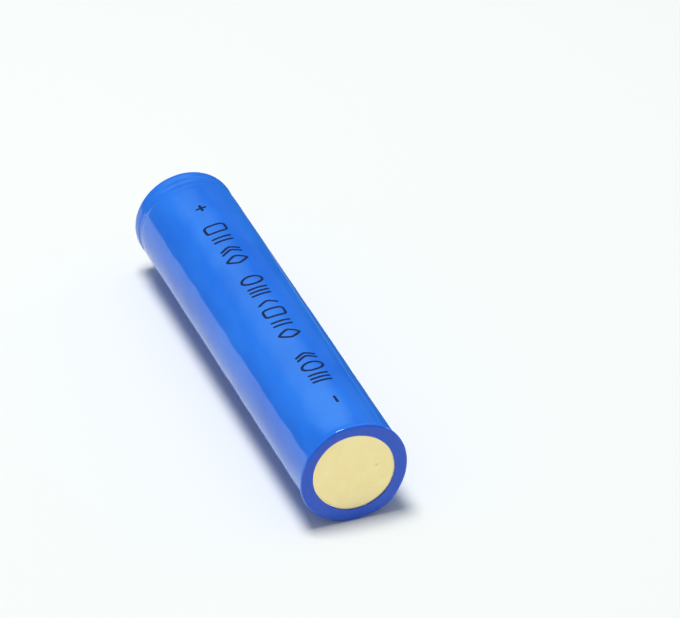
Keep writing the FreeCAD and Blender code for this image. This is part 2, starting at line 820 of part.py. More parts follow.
def negative_tab(doc, c, w):
    """Nickel tab: welded to the anode foil, folded under and welded to the can's floor."""
    thin = c.tab_strip.value
    radius = spiral_radius(c, w.anode_outer, w.end - 1)
    flat_y = -(radius + thin / 2)
    held = curved_patch(
        c, w.anode_outer, thin, w.end - 1, c.tab_width.value, w.low, w.anode_high
    )
    bend = c.tab_bend.value + thin / 2
    on_floor = c.floor_top.value + thin / 2
    leaves = on_floor + bend
    change = straighten(c, w.anode_outer, w.end - 1, flat_y, w.low, leaves)
    far = c.insulator_hole.value + c.tab_width.value / 2
    path = [(flat_y, leaves), (flat_y, on_floor), (far, on_floor)]
    folded = folded_strip(path, bend, thin, c.tab_width.value)
    shape = held.fuse([change, folded]).removeSplitter()
    return add_shape(doc, c, "negative_tab", shape)


def tab_tapes(doc, c, w):
    """Tape over each tab where it lies against the separator."""
    thin, tape = c.tab_strip.value, c.tab_tape.value
    width = c.tab_width.value + 2 * c.tab_tape_margin.value
    positive = curved_patch(
        c, w.cathode_outer + thin, tape, w.window, width, w.cathode_low, w.cathode_high
    )
    negative = curved_patch(
        c, w.anode_outer + thin, tape, w.end - 1, width, w.anode_low, w.anode_high
    )
    return [
        add_shape(doc, c, "positive_tab_tape", positive),
        add_shape(doc, c, "negative_tab_tape", negative),
    ]


# ------------------------------------------------------------------- winding insulators


def insulator(doc, c, label, radius, bottom, thickness, slot_low, slot_high):
    """A disc with a hole in the middle and a slot that lets a tab through."""
    body = new_body(doc, c, label)
    disc = new_sketch(body, "XY_Plane", "Disc", bottom)
    circle(disc, ZERO, ZERO, radius)
    circle(disc, ZERO, ZERO, c.insulator_hole)
    pad(body, disc, thickness)
    slot = new_sketch(body, "XY_Plane", "SlotSketch", bottom)
    half = c.tab_width / 2 + c.slot_gap
    outline(slot, box_outline(half * -1, half, slot_low, slot_high))
    cut_up(body, slot, thickness, "TabSlot")
    return body


def insulators(doc, c, w):
    """The discs above and below the winding."""
    half_pitch = c.pitch / 2
    films = c.separator_film + c.anode_coat + c.anode_foil
    outer_tab = c.roll_core + films + half_pitch * (w.end - 1)
    sagitta = c.tab_width.value**2 / 8 / outer_tab.value
    lower = insulator(
        doc,
        c,
        "lower_insulator",
        c.bore - c.can_corner,
        c.foot_top,
        c.insulator_thickness,
        c.bore * -1,
        (outer_tab - c.slot_gap - sagitta) * -1,
    )
    stack = c.separator_film * 2 + c.anode_coat * 2 + c.anode_foil + c.cathode_coat
    inner_tab = c.roll_core + stack + c.cathode_foil + half_pitch * w.window
    curve = c.tab_width.value**2 / 8 / inner_tab.value
    upper = insulator(
        doc,
        c,
        "upper_insulator",
        c.bore - c.fit_gap * 2,
        c.roll_top,
        c.top_insulator_thickness,
        (inner_tab + c.tab_strip + c.slot_gap) * -1,
        (inner_tab - c.slot_gap - curve) * -1,
    )
    return [lower, upper]


# ------------------------------------------------------------------------------- output


def check(doc, pieces):
    """Stops the build if any feature failed or any piece isn't a sound solid."""
    for thing in doc.Objects:
        if {"Invalid", "Error"} & set(thing.State):
            raise RuntimeError(f"{thing.Label} failed to build: {thing.State}")
    for piece in pieces:
        shape = piece.Shape
        if shape.isNull() or not shape.isValid() or not shape.Solids:
            raise RuntimeError(f"{piece.Label} is not a sound solid")
        if any(solid.Volume <= 0 for solid in shape.Solids):
            raise RuntimeError(f"{piece.Label} has an inside-out solid")


def main():
    doc = FreeCAD.newDocument("CylindricalCell")
    c = Cell(fill_sheet(doc))
    w = Winding(c)
    pieces = [
        shrink_sleeve(doc, c),
        steel_can(doc, c),
        insulating_washer(doc, c),
        header_gasket(doc, c),
        top_cap(doc, c),
        ptc_washer(doc, c),
        vent_disc(doc, c),
        cid_insulator(doc, c),
        cid_plate(doc, c),
        *winding(doc, c, w),
        positive_tab(doc, c, w),
        negative_tab(doc, c, w),
        *tab_tapes(doc, c, w),
        *insulators(doc, c, w),
    ]
    doc.recompute()
    check(doc, pieces)
    os.makedirs("parts", exist_ok=True)
    for piece in pieces:
        piece.Shape.exportStep(f"parts/{piece.Label}.step")
        volume, solids = piece.Shape.Volume, len(piece.Shape.Solids)
        print(f"{piece.Label:24s} {solids} solid(s) {volume:10.3f} mm3")


main()
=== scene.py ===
import bmesh
import bpy
import numpy as np
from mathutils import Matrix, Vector


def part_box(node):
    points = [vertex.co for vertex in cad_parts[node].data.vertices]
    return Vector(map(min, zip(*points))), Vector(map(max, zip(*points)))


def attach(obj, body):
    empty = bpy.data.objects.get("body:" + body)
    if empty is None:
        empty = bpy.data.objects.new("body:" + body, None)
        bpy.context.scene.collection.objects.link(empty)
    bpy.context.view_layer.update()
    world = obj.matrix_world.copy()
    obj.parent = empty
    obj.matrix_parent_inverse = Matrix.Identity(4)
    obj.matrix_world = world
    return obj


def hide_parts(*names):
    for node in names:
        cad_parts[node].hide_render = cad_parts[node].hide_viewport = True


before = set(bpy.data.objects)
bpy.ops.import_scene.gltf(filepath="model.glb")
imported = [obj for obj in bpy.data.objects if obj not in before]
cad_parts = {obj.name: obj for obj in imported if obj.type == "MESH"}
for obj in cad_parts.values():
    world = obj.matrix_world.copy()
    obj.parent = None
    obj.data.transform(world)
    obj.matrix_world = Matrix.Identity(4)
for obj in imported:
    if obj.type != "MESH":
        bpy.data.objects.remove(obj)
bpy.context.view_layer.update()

# ------------------------------------------------------------------ steel can
# Deep-drawn from nickel-plated strip, so its wall has faint drawing lines and its bare
# bottom, the negative terminal, is a satin disc with a warm cast and one weld pit.

MM = 0.001
can_low, can_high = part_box("steel_can")
CAN_R = (can_high[0] - can_low[0]) / 2
AXIS_Z = (can_high[2] + can_low[2]) / 2
NICKEL = {"pale": (0.930, 0.800, 0.430), "warm": (0.900, 0.740, 0.340)}


def new_material(name, **sockets):
    """A node material whose main shader has these sockets set."""
    material = bpy.data.materials.new(name)
    material.use_nodes = True
    shader = material.node_tree.nodes["Principled BSDF"]
    for socket, value in sockets.items():
        shader.inputs[socket.replace("_", " ")].default_value = value
    return material


def add_node(material, kind, **sockets):
    """Adds a node of a kind to a material and sets or feeds its sockets."""
    tree = material.node_tree
    node = tree.nodes.new("ShaderNode" + kind)
    for name, value in sockets.items():
        socket = node.inputs[name.replace("_", " ")]
        if isinstance(value, bpy.types.NodeSocket):
            tree.links.new(value, socket)
        else:
            socket.default_value = value
    return node


def feed(material, output, socket):
    """Feeds an output into a socket of the main shader."""
    shader = material.node_tree.nodes["Principled BSDF"]
    material.node_tree.links.new(output, shader.inputs[socket])


def place_in_mm(material, stretch=(1, 1, 1)):
    """The piece's own coordinates in millimetres, stretched along an axis."""
    place = add_node(material, "TexCoord").outputs["Object"]
    scale = [share / MM for share in stretch]
    return add_node(material, "Mapping", Vector=place, Scale=scale).outputs["Vector"]


def grain(material, size, stretch=(1, 1, 1), detail=4.0, roughness=0.55):
    """Noise from 0 to 1 with grains of a size in millimetres, drawn out along an axis."""
    place = place_in_mm(material, [1 / share for share in stretch])
    noise = add_node(
        material, "TexNoise", Vector=place, Scale=1 / size, Detail=detail, Roughness=roughness
    )
    return noise.outputs["Fac"]


def between(material, factor, low, high, start=0.3, end=0.7):
    """Takes a factor from start..end to low..high."""
    node = add_node(
        material, "MapRange", Value=factor, From_Min=start, From_Max=end, To_Min=low, To_Max=high
    )
    return node.outputs["Result"]


def blend(material, factor, first, second, start=0.3, end=0.7):
    """Runs from a first colour to a second one as a factor goes from start to end."""
    node = add_node(material, "ValToRGB", Fac=factor)
    stops = zip(node.color_ramp.elements, (start, end), (first, second))
    for element, place, colour in stops:
        element.position = place
        element.color = (*colour, 1)
    return node.outputs["Color"]


def join(material, operation, first, second):
    """Joins two patterns by an arithmetic operation."""
    node = add_node(material, "Math")
    node.operation = operation
    for pattern, socket in zip((first, second), node.inputs):
        material.node_tree.links.new(pattern, socket)
    return node.outputs[0]


def relief(material, height, depth):
    """Raises the surface by a height from 0 to 1, depth millimetres high."""
    node = add_node(material, "Bump", Height=height, Distance=depth * MM)
    feed(material, node.outputs["Normal"], "Normal")


def plated_steel(name, pale, warm, roughness):
    """Satin nickel on steel: cloudy tint, fine speckle, and short drawing lines."""
    metal = new_material(name, Metallic=1.0)
    cloud = grain(metal, size=1.6, detail=6, roughness=0.7)
    feed(metal, blend(metal, cloud, pale, warm, start=0.35, end=0.75), "Base Color")
    speckle = grain(metal, size=0.35, detail=5)
    feed(metal, between(metal, speckle, *roughness), "Roughness")
    relief(metal, grain(metal, size=0.12, stretch=(1, 6, 1), detail=3), depth=0.002)
    return metal


def finish_node(node, material):
    """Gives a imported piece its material."""
    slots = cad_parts[node].data.materials
    slots.clear()
    slots.append(material)


can_finish = plated_steel(
    "nickel_plated_can", NICKEL["pale"], NICKEL["warm"], roughness=(0.30, 0.42)
)
finish_node("steel_can", can_finish)

# ------------------------------------------------------------------ winding
# Copper and aluminium foil, coated on both sides, rolled up between two separator films.
# Two welded tabs lead out of it, taped over, and a strip of tape closes the last turn.


def dusty_coating(name, dark, light, size):
    """A dried slurry on foil: matt, dark, with fine agglomerates and coating streaks."""
    coat = new_material(name, Specular_IOR_Level=0.3)
    dust = grain(coat, size, stretch=(1, 3, 1), detail=6, roughness=0.7)
    feed(coat, blend(coat, dust, dark, light), "Base Color")
    feed(coat, between(coat, dust, 0.78, 0.95), "Roughness")
    relief(coat, dust, depth=0.004)
    return coat


def rolled_foil(name, dark, light):
    """Rolled metal foil: rolling lines along the strip and a soft mirror finish."""
    foil = new_material(name, Metallic=1.0)
    lines = grain(foil, size=0.2, stretch=(1, 1, 8), detail=5, roughness=0.65)
    feed(foil, blend(foil, lines, dark, light), "Base Color")
    feed(foil, between(foil, lines, 0.22, 0.38), "Roughness")
    relief(foil, lines, depth=0.001)
    return foil


def clear_film(name, dark, light, roughness, through):
    """A thin polymer film: slightly cloudy, with light spreading inside it."""
    film = new_material(name, Subsurface_Weight=through, Subsurface_Scale=0.3 * MM)
    haze = grain(film, size=0.8, detail=5, roughness=0.6)
    feed(film, blend(film, haze, dark, light), "Base Color")
    feed(film, between(film, haze, *roughness), "Roughness")
    relief(film, haze, depth=0.001)
    return film


graphite = dusty_coating(
    "graphite_coat", (0.012, 0.013, 0.015), (0.045, 0.046, 0.050), size=0.08
)
oxide = dusty_coating("oxide_coat", (0.010, 0.009, 0.009), (0.030, 0.027, 0.026), size=0.06)
copper = rolled_foil("copper_foil", (0.70, 0.32, 0.18), (0.86, 0.48, 0.30))
aluminium = rolled_foil("aluminium_foil", (0.72, 0.73, 0.75), (0.88, 0.89, 0.90))
nickel_strip = rolled_foil("nickel_strip", (0.60, 0.57, 0.50), (0.76, 0.73, 0.66))
separator = clear_film(
    "separator_film", (0.80, 0.82, 0.83), (0.90, 0.91, 0.92), roughness=(0.4, 0.55), through=0.3
)
amber_tape = clear_film(
    "amber_tape", (0.42, 0.17, 0.02), (0.56, 0.26, 0.04), roughness=(0.2, 0.3), through=0.1
)
green_tape = clear_film(
    "green_tape", (0.02, 0.22, 0.10), (0.04, 0.32, 0.16), roughness=(0.25, 0.4), through=0.1
)
for node, material in {
    "separator_inner": separator,
    "separator_outer": separator,
    "anode_foil": copper,
    "anode_coating_inner": graphite,
    "anode_coating_outer": graphite,
    "cathode_foil": aluminium,
    "cathode_coating_inner": oxide,
    "cathode_coating_outer": oxide,
    "closing_tape": green_tape,
    "positive_tab": aluminium,
    "negative_tab": nickel_strip,
    "positive_tab_tape": amber_tape,
    "negative_tab_tape": amber_tape,
}.items():
    finish_node(node, material)

# ------------------------------------------------------------------ insulating discs
# Stamped discs above and below the winding: resin-bonded glass cloth at the top and a
# plain polypropylene disc at the bottom, each slotted for its tab.


def glass_cloth(name, dark, light, thread):
    """Woven glass in resin: two crossed sets of bands, thread millimetres apart."""
    cloth = new_material(name, Coat_Weight=0.2)
    place = place_in_mm(cloth)
    bands = []
    for direction in ("X", "Z"):
        wave = add_node(cloth, "TexWave", Vector=place, Scale=0.5 / thread, Distortion=0.4)
        wave.bands_direction = direction
        bands.append(wave.outputs["Fac"])
    weave = join(cloth, "MULTIPLY", *bands)
    feed(cloth, blend(cloth, weave, dark, light, start=0.1, end=0.8), "Base Color")
    feed(cloth, between(cloth, weave, 0.35, 0.6, start=0, end=1), "Roughness")
    relief(cloth, weave, depth=0.01)
    return cloth


bonded_glass = glass_cloth("glass_cloth", (0.42, 0.45, 0.36), (0.60, 0.62, 0.50), thread=0.4)
milky_plastic = clear_film(
    "milky_polypropylene",
    (0.68, 0.71, 0.72),
    (0.78, 0.80, 0.80),
    roughness=(0.32, 0.45),
    through=0.5,
)
finish_node("upper_insulator", bonded_glass)
finish_node("lower_insulator", milky_plastic)

# ------------------------------------------------------------------ safety vent and cap
# The header is a stack crimped into a gasket: contact plate, its ring, the scored vent
# disc, the current-limiting washer, and the pressed, nickel-plated cap.

vent_metal = rolled_foil("vent_aluminium", (0.70, 0.71, 0.72), (0.84, 0.85, 0.86))
limiter = dusty_coating(
    "current_limiter", (0.03, 0.03, 0.032), (0.07, 0.07, 0.072), size=0.15
)
cap_finish = plated_steel(
    "nickel_plated_cap", (0.86, 0.80, 0.66), (0.80, 0.72, 0.56), roughness=(0.20, 0.34)
)
finish_node("header_gasket", milky_plastic)
finish_node("cid_insulator", milky_plastic)
finish_node("vent_disc", vent_metal)
finish_node("cid_plate", vent_metal)
finish_node("ptc_washer", limiter)
finish_node("top_cap", cap_finish)

# ------------------------------------------------------------------ paper washer
# Punched from white insulating paper and laid on the crimped rim, under the film. The
# sheet is pressed smooth, and its short fibres still show.


def pressed_paper(name, dark, light):
    """Calendered paper: short fibres lying all ways, seen as colour and as relief."""
    paper = new_material(name, Specular_IOR_Level=0.35)
    along = grain(paper, size=0.12, stretch=(5, 1, 1), detail=6, roughness=0.7)
    across = grain(paper, size=0.12, stretch=(1, 1, 5), detail=6, roughness=0.7)
    fibres = join(paper, "MAXIMUM", along, across)
    feed(paper, blend(paper, fibres, dark, light, start=0.4, end=0.75), "Base Color")
    feed(paper, between(paper, fibres, 0.7, 0.9), "Roughness")
    relief(paper, fibres, depth=0.012)
    return paper


finish_node(
    "insulating_washer", pressed_paper("washer_paper", (0.70, 0.69, 0.64), (0.86, 0.85, 0.81))
)

# ------------------------------------------------------------------ shrink sleeve
# A length of lay-flat PVC tube, blue all through, shrunk on in a hot tunnel. It gathers
# into a proud rim at the negative end, sinks into the bead and closes in over the cap end.

sleeve_low, sleeve_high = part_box("shrink_sleeve")
cap_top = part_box("top_cap")[1][1]
BLUE = {
    "deep": (0.009, 0.142, 0.730),
    "clear": (0.020, 0.195, 0.840),
    # Painted shade: a deeper blue for the end face at the negative end, which gets less light.
    "gathered": (0.003, 0.096, 0.740),
}
FILM = {
    "wall": 0.10 * MM,
    "fold": can_low[1] - sleeve_low[1],
    "rim_corner": 0.32 * MM,
    "rim_land": 0.40 * MM,
    "rim_slope": 0.60 * MM,
    "can_corner": 0.40 * MM,
    "shoulder": 1.20 * MM,
    "low_mouth": 5.50 * MM,
    "high_mouth": 5.40 * MM,
    "around": 200,
    "outer_rows": 300,
    "inner_rows": 70,
}
BEAD = {
    "y": cap_top - 3.0 * MM,
    "sag": 0.22 * MM,
    "sag_half": 1.0 * MM,
    "slack": 0.06 * MM,
    "slack_half": 2.2 * MM,
}
RIM_R = (sleeve_high[0] - sleeve_low[0]) / 2
WALL_R = CAN_R + FILM["wall"]
LAND_Y = sleeve_low[1] + FILM["rim_land"]
SLOPE_Y = LAND_Y + FILM["rim_slope"]


def run(start, end, count):
    """Points evenly spaced on the straight line from start to end, the end left out."""
    share = np.linspace(0, 1, count, endpoint=False)[:, None]
    return np.array(start) * (1 - share) + np.array(end) * share


def quarter(start, end, centre, count):
    """Points on the circle about centre from start to end, the end left out.

    The angle about the centre runs evenly from the start's to the end's.
    """
    arms = np.array([start, end]) - np.array(centre)
    angles = np.linspace(*np.arctan2(arms[:, 1], arms[:, 0]), count, endpoint=False)
    circle = np.stack([np.cos(angles), np.sin(angles)], axis=1)
    return np.array(centre) + np.hypot(*arms[0]) * circle


def dip(y, middle, half):
    """A raised cosine: 1 at the middle, 0 at half away from it and beyond."""
    share = np.clip(np.abs(y - middle) / half, 0, 1)
    return 0.5 + 0.5 * np.cos(np.pi * share)


def film_side(radius, low, high, corner, rows, slack=0.0):
    """The film's side in section as (radius, y): straight, sunk over the bead, rounded off.

    The radius is the wall's, less a raised cosine over the bead and a wider, shallower
    one for slack film; then a quarter circle and a straight run lead to the mouth.
    """
    wall = run((radius, low), (radius, high - corner), rows)
    wall[:, 0] -= BEAD["sag"] * dip(wall[:, 1], BEAD["y"], BEAD["sag_half"])
    wall[:, 0] -= slack * dip(wall[:, 1], BEAD["y"], BEAD["slack_half"])
    turned = radius - corner
    return [
        wall,
        quarter((radius, high - corner), (turned, high), (turned, high - corner), count=16),
        run((turned, high), (FILM["high_mouth"], high), count=5),
        np.array([(FILM["high_mouth"], high)]),
    ]


def outer_section():
    """The film's outer face in section, from the low mouth out and up to the high one.

    The rim is a land, a quarter circle at its edge, and half a cosine wave down to the
    wall.
    """
    low, high = sleeve_low[1], sleeve_high[1]
    corner = FILM["rim_corner"]
    turned = RIM_R - corner
    slope = run((RIM_R, LAND_Y), (WALL_R, SLOPE_Y), count=16)
    share = (slope[:, 1] - LAND_Y) / FILM["rim_slope"]
    slope[:, 0] = WALL_R + (RIM_R - WALL_R) * (0.5 + 0.5 * np.cos(np.pi * share))
    side = film_side(
        WALL_R, SLOPE_Y, high, FILM["shoulder"], FILM["outer_rows"], BEAD["slack"]
    )
    return [
        run((FILM["low_mouth"], low), (turned, low), count=14),
        quarter((turned, low), (RIM_R, low + corner), (turned, low + corner), count=9),
        run((RIM_R, low + corner), (RIM_R, LAND_Y), count=4),
        slope,
        *side,
    ]


def inner_section():
    """The film's inner face in section: across the can's floor, round its edge and up it.

    It lies a fold's thickness inside the outer face at the ends, a wall's at the side.
    """
    floor, ceiling = sleeve_low[1] + FILM["fold"], sleeve_high[1] - FILM["fold"]
    bend = FILM["can_corner"]
    turned = CAN_R - bend
    shoulder = FILM["shoulder"] - FILM["wall"]
    return [
        run((FILM["low_mouth"], floor), (turned, floor), count=8),
        quarter((turned, floor), (CAN_R, floor + bend), (turned, floor + bend), count=8),
        *film_side(CAN_R, floor + bend, ceiling, shoulder, FILM["inner_rows"]),
    ]


def film_section():
    """The film's closed section: the outer face out and up, the inner face back down."""
    return np.concatenate([*outer_section(), np.concatenate(inner_section())[::-1]])


# Waves are rows of (height, cycles per metre, cycles round, phase). Places round the cell
# are in degrees from its top towards +X.
chance = np.random.default_rng(14)
WALL_WAVES = [
    (
        0.0062 * MM / (1 + 4 * abs(rate) * MM),
        rate,
        turns,
        chance.uniform(0, 2 * np.pi),
    )
    for rate, turns in zip(
        (18, -25, 40, -52, 66, -80, 95, -120, 150, -170),
        (1, 2, 3, 4, 2, 5, 3, 6, 4, 7),
    )
]
CREASE = 142
LOBES = [
    {"at": CREASE, "spread": 19, "height": 0.28 * MM},
    {"at": 338, "spread": 14, "height": 0.06 * MM},
]
RIM_RIPPLES = [(0.010 * MM, 0, 5, 1.0), (0.010 * MM, 0, 9, 2.2)]
FLUSH = {"at": 318, "full_within": 42, "gone_by": 75, "depth": 0.22 * MM}
MOUTH_WAVES = [
    (0.15 * MM, 0, 2, -2 * np.radians(CREASE)),
    (-0.07 * MM, 0, 1, -np.radians(CREASE)),
    (-0.05 * MM, 0, 1, -np.radians(280)),
    (0.016 * MM, 0, 5, 2.0),
    (0.008 * MM, 0, 11, 0.4),
]
FAR_MOUTH_WAVES = [(0.035 * MM, 0, 3, 0.6)]

# Where the shifts fade in or out: lengths, and pairs of radii. The skin is how far past
# the can's radius the outer face begins.
FADE = {
    "skin": 0.02 * MM,
    "onto_wall": 0.06 * MM,
    "past_land": 2.0 * MM,
    "lobe": 0.7 * MM,
    "face": (6.2 * MM, 6.8 * MM),
    "mouth": (5.6 * MM, 6.3 * MM),
    "mouth_wider": 0.05 * MM,
}


def waves(table, along, around):
    """A sum of cosines of (height, cycles per metre, cycles round, phase), in metres."""
    total = np.zeros(np.broadcast(along, around).shape)
    for height, rate, turns, phase in table:
        total += height * np.cos(2 * np.pi * rate * along + turns * around + phase)
    return total


def sunk_waves(table, along, around):
    """The same sum less all its heights, so that it never comes above zero."""
    return waves(table, along, around) - sum(wave[0] for wave in table)


def ramp(value, start, end):
    """Straight from 0 at the start to 1 at the end, and flat outside them."""
    return np.clip((value - start) / (end - start), 0, 1)


def turned_from(angle, place):
    """The angle from a place round the cell, kept within half a turn either way."""
    return np.angle(np.exp(1j * (angle - np.radians(place))))


def wall_shift(radius, y, angle):
    """Low waves on the outer wall, below its drawn radius, faded in past the rim's land."""
    skin = CAN_R + FADE["skin"]
    on_wall = ramp(radius, skin, skin + FADE["onto_wall"])
    past_land = ramp(y, LAND_Y, LAND_Y + FADE["past_land"])
    return sunk_waves(WALL_WAVES, y, angle) * on_wall * past_land


def lobe_shift(radius, y, angle):
    """Bell-shaped lobes where the flat tube had its creases, and small ripples.

    Each lobe is its height times e to the minus square of the angle from its place over
    its spread. All fade out up the slope, and from the rim's edge in to the can.
    """
    bulge = sunk_waves(RIM_RIPPLES, y, angle)
    for lobe in LOBES:
        off = turned_from(angle, lobe["at"]) / np.radians(lobe["spread"])
        bulge = bulge + lobe["height"] * np.exp(-(off**2))
    corner = sleeve_low[1] + FILM["rim_corner"]
    up_slope = ramp(y, corner, corner + FADE["lobe"])
    return bulge * (1 - up_slope) * ramp(radius, CAN_R, RIM_R)


def flush_shift(radius, y, angle):
    """Draws the rim in at the upper left, where it lies nearly flush with the wall.

    A smooth step, three squares less two cubes, fades it out round the rim. On the slope
    it goes by how far the film stands out, and on the end face it fades towards the mouth.
    """
    off = np.degrees(np.abs(turned_from(angle, FLUSH["at"])))
    share = 1 - ramp(off, FLUSH["full_within"], FLUSH["gone_by"])
    step = share * share * (3 - 2 * share)
    on_slope = ramp(radius, WALL_R, RIM_R)
    on_face = ramp(radius, *FADE["face"])
    held = np.where(y > LAND_Y, on_slope, on_face) * (y < 0)
    on_end = y < sleeve_low[1] + FILM["fold"] / 2
    outer = on_end | (radius > CAN_R + FADE["skin"])
    return -FLUSH["depth"] * step * held * outer


def mouth_shift(radius, y, angle):
    """An oval, scalloped mouth at the low end and a slightly three-sided one at the high end."""
    low_end = (waves(MOUTH_WAVES, y, angle) + FADE["mouth_wider"]) * (y < 0)
    high_end = waves(FAR_MOUTH_WAVES, y, angle) * (y > 0)
    return (low_end + high_end) * (1 - ramp(radius, *FADE["mouth"]))


def uneven_shift(radius, y, angle):
    """How far the film stands out of round: the sum of the four shifts above."""
    shifts = (wall_shift, lobe_shift, flush_shift, mouth_shift)
    return sum(shift(radius, y, angle) for shift in shifts)


def turn_round(section, around, shift):
    """A section of (radius, y) turned about the cell's axis into a grid of points.

    The angle runs evenly from the top of the cell towards +X, and the shift, a function
    of radius, y and angle, is added to the radius.
    """
    angle = np.linspace(0, 2 * np.pi, around, endpoint=False)[None, :]
    radius, y = section[:, 0, None], section[:, 1, None]
    out = radius + shift(radius, y, angle)
    points = np.empty((len(section), around, 3))
    points[..., 0] = out * np.sin(angle)
    points[..., 1] = y
    points[..., 2] = AXIS_Z + out * np.cos(angle)
    return points


def wrapped_faces(rows, columns):
    """Faces of a grid that closes on itself both ways, facing out of the section."""
    row, column = np.arange(rows)[:, None], np.arange(columns)[None, :]
    ahead, beside = (row + 1) % rows, (column + 1) % columns
    corners = ((row, column), (row, beside), (ahead, beside), (ahead, column))
    return np.stack([r * columns + c for r, c in corners], axis=-1).reshape(-1, 4)


def new_piece(name, points, faces, material, slot):
    """A smooth mesh piece from arrays of points and faces, riding on the cell."""
    mesh = bpy.data.meshes.new(name)
    mesh.from_pydata(points.reshape(-1, 3).tolist(), [], faces.tolist())
    mesh.polygons.foreach_set("use_smooth", np.ones(len(mesh.polygons), bool))
    mesh.materials.append(material)
    mesh.update()
    piece = bpy.data.objects.new(name, mesh)
    bpy.context.scene.collection.objects.link(piece)
    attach(piece, "root")
    return piece


def blue_film():
    """Glossy blue PVC: slightly cloudy colour, faint haze, very shallow orange peel.

    The end face at the negative end is painted a deeper blue, as painted shade.
    """
    film = new_material("blue_shrink_film", IOR=1.55)
    cloud = grain(film, size=7.0, stretch=(1, 3, 1), detail=3)
    wall = blend(film, cloud, BLUE["deep"], BLUE["clear"], start=0.35, end=0.65)
    end = sleeve_low[1] / MM
    along = add_node(film, "SeparateXYZ", Vector=place_in_mm(film)).outputs["Y"]
    # Painted shade: 1 on the end face at the negative end, fading out by 0.2 mm up the film.
    gathered = between(film, along, 1, 0, start=end + 0.04, end=end + 0.20)
    painted_shade_blue = (*BLUE["gathered"], 1)
    mixed = add_node(film, "MixRGB", Fac=gathered, Color1=wall, Color2=painted_shade_blue)
    feed(film, mixed.outputs["Color"], "Base Color")
    haze = grain(film, size=1.2, stretch=(1, 2, 1), detail=5)
    feed(film, between(film, haze, 0.06, 0.12), "Roughness")
    relief(film, grain(film, size=0.9, stretch=(1, 3, 1), detail=2), depth=0.0035)
    return film


film_points = turn_round(film_section(), FILM["around"], uneven_shift)
film_faces = wrapped_faces(*film_points.shape[:2])
sleeve = new_piece("sleeve_film", film_points, film_faces, blue_film(), "shrink_sleeve")
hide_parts("shrink_sleeve")

# ------------------------------------------------------------------ ink marks
# One line of quick-drying navy ink, jetted on the sleeve: a plus at the positive end,
# plain shapes in three groups, and a minus at the negative end. It has no lettering.

INK = {
    "start": 55.0 * MM,
    "line": 48.5 * MM,
    "pitch": 2.68 * MM,
    "height": 2.9 * MM,
    "width": 1.75 * MM,
    "lean": 0.08,
    "stroke": 0.38 * MM,
    "thickness": 0.006 * MM,
    "side_at_start": -0.74 * MM,
    "side_at_end": 0.12 * MM,
    "sides": 8,
}
NAVY = {"thick": (0.003, 0.010, 0.055), "thin": (0.006, 0.024, 0.130)}


def bar(start, end):
    """A straight open path between two points of a mark's unit square."""
    share = np.linspace(0, 1, 40)[:, None]
    return np.array(start) * (1 - share) + np.array(end) * share, False


def loop(power):
    """A closed path, the superellipse |x| to a power plus |y| to that power equal to 1.

    A power of 2 is a ring, 5 nearly a square, and 1.25 nearly a diamond.
    """
    angle = np.linspace(0, 2 * np.pi, 96, endpoint=False)
    c, s = np.cos(angle), np.sin(angle)
    reach = (np.abs(c) ** power + np.abs(s) ** power) ** (-1 / power)
    return np.stack([c * reach, s * reach], axis=1), True


def chevron(shift, depth=0.9, blunt=0.02):
    """An open path, one branch of a hyperbola, blunt at its point.

    x is the shift plus the depth times the root of y squared plus blunt, less 1.
    """
    y = np.linspace(-1, 1, 60)
    return np.stack([shift + depth * (np.sqrt(y**2 + blunt) - 1), y], axis=1), False


MARKS = {
    "plus": [bar((-0.9, 0), (0.9, 0)), bar((0, -0.55), (0, 0.55))],
    "minus": [bar((-0.9, 0), (0.9, 0))],
    "two bars": [bar((x, -1), (x, 1)) for x in (-0.5, 0.5)],
    "three bars": [bar((x, -1), (x, 1)) for x in (-0.9, 0, 0.9)],
    "ring": [loop(2)],
    "square": [loop(5)],
    "diamond": [loop(1.25)],
    "chevron": [chevron(0.7)],
    "chevrons": [chevron(0.3), chevron(1.1)],
    "gap": [],
}
LINE = ["plus", "gap", "square", "two bars", "chevrons", "diamond", "gap", "ring"]
LINE += ["three bars", "chevron", "square", "two bars", "diamond", "gap", "chevrons"]
LINE += ["ring", "three bars", "gap", "minus"]


def across_path(flat, closed):
    """Unit vectors at right angles to a path, from the points on each side of each one."""
    ahead = np.roll(flat, -1, 0) - np.roll(flat, 1, 0)
    if not closed:
        ahead[0], ahead[-1] = flat[1] - flat[0], flat[-1] - flat[-2]
    ahead /= np.linalg.norm(ahead, axis=1)[:, None]
    return np.stack([-ahead[:, 1], ahead[:, 0]], axis=1)


def half_stroke(flat, closed):
    """Half the stroke's width along a path; an open end narrows along a quarter circle."""
    half = np.full(len(flat), INK["stroke"] / 2)
    if closed:
        return half
    gone = np.r_[0, np.cumsum(np.linalg.norm(np.diff(flat, axis=0), axis=1))]
    left = np.minimum(np.minimum(gone, gone[-1] - gone) / half, 1)
    return half * np.sqrt(1 - (1 - left) ** 2)


def laid_on_film(along, side, lift):
    """Points at a distance along the line and to its side, lifted from the film.

    The whole line drifts to the side evenly, from its start to its end. The film's radius
    is the straight wall's, waves included.
    """
    share = along / INK["line"]
    drift = INK["side_at_start"] * (1 - share) + INK["side_at_end"] * share
    y = sleeve_low[1] + INK["start"] - along
    angle = (drift + side) / WALL_R
    wall = np.full_like(y, WALL_R)
    radius = wall + uneven_shift(wall, y, angle) + lift
    return np.stack([radius * np.sin(angle), y, AXIS_Z + radius * np.cos(angle)], axis=-1)


